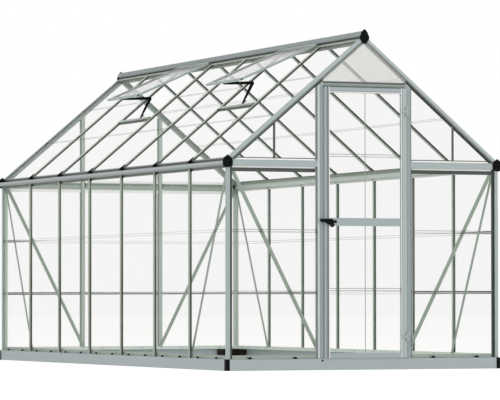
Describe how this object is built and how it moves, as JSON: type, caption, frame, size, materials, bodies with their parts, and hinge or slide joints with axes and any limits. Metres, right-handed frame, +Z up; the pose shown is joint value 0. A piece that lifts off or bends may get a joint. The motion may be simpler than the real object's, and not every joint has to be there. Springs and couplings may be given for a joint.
{
  "type": "polycarbonate greenhouse",
  "caption": "Walk-in greenhouse of clear polycarbonate sheets in extruded aluminium bars, with gutters, propped roof vents and a hinged door.",
  "frame": {"origin": "on the ground at the middle of the plan", "axes": "+Z up, +Y from the door gable to the rear gable, +X to the right of someone facing the door"},
  "size_m": [1.933, 4.3005, 2.1115],
  "materials": {
    "aluminium": "silver anodised extrusion",
    "base_steel": "galvanised and silver coated steel",
    "moulded_black": "moulded black plastic, satin",
    "polycarbonate": "clear polycarbonate sheet",
    "clear_strip": "clear extruded plastic strip"
  },
  "bodies": {
    "house": {"base_rail_left": "base_steel", "base_rail_right": "base_steel", "base_rail_front": "base_steel", "base_rail_rear": "base_steel", "base_corners": "moulded_black", "wall_track_left": "aluminium", "wall_track_right": "aluminium", "wall_track_front": "aluminium", "wall_track_rear": "aluminium", "track_clips": "moulded_black", "corner_posts": "aluminium", "studs_left": "aluminium", "studs_right": "aluminium", "rear_posts": "aluminium", "door_posts": "aluminium", "door_header": "aluminium", "gable_rail_front": "aluminium", "gable_rail_rear": "aluminium", "gutter_left": "aluminium", "gutter_right": "aluminium", "gutter_end_caps": "moulded_black", "rain_outlet": "moulded_black", "rafters_front": "aluminium", "rafters_rear": "aluminium", "roof_bars_left": "aluminium", "roof_bars_right": "aluminium", "bar_end_caps": "moulded_black", "ridge_beam": "aluminium", "ridge_end_caps": "moulded_black", "braces_left": "aluminium", "braces_right": "aluminium", "braces_front": "aluminium", "braces_rear": "aluminium", "wall_panels_left": "polycarbonate", "wall_panels_right": "polycarbonate", "wall_panels_front": "polycarbonate", "wall_panels_rear": "polycarbonate", "gable_panels_front": "polycarbonate", "gable_panels_rear": "polycarbonate", "roof_panels_left": "polycarbonate", "roof_panels_right": "polycarbonate", "wall_joiners_side": "clear_strip", "wall_joiners_gable": "clear_strip", "roof_joiners": "clear_strip", "vent_end_bars": "aluminium", "vent_side_bars": "aluminium", "vent_panels": "polycarbonate", "vent_sills": "aluminium", "vent_stays": "moulded_black", "hinge_brackets": "aluminium"},
    "door": {"door_stiles": "aluminium", "door_rails": "aluminium", "door_panels": "polycarbonate", "door_joiners": "clear_strip", "door_hinges": "aluminium"},
    "handle": {"door_handle": "moulded_black"}
  },
  "joints": [
    {"name": "door_swing", "type": "hinge", "parent": "house", "child": "door", "pos_m": [0.2805, -2.154, 0.904], "axis": [0, 0, 1], "range_deg": [0, 110]},
    {"name": "handle_turn", "type": "hinge", "parent": "door", "child": "handle", "pos_m": [-0.232, -2.15, 0.915], "axis": [0, 1, 0], "range_deg": [-35, 35]}
  ]
}
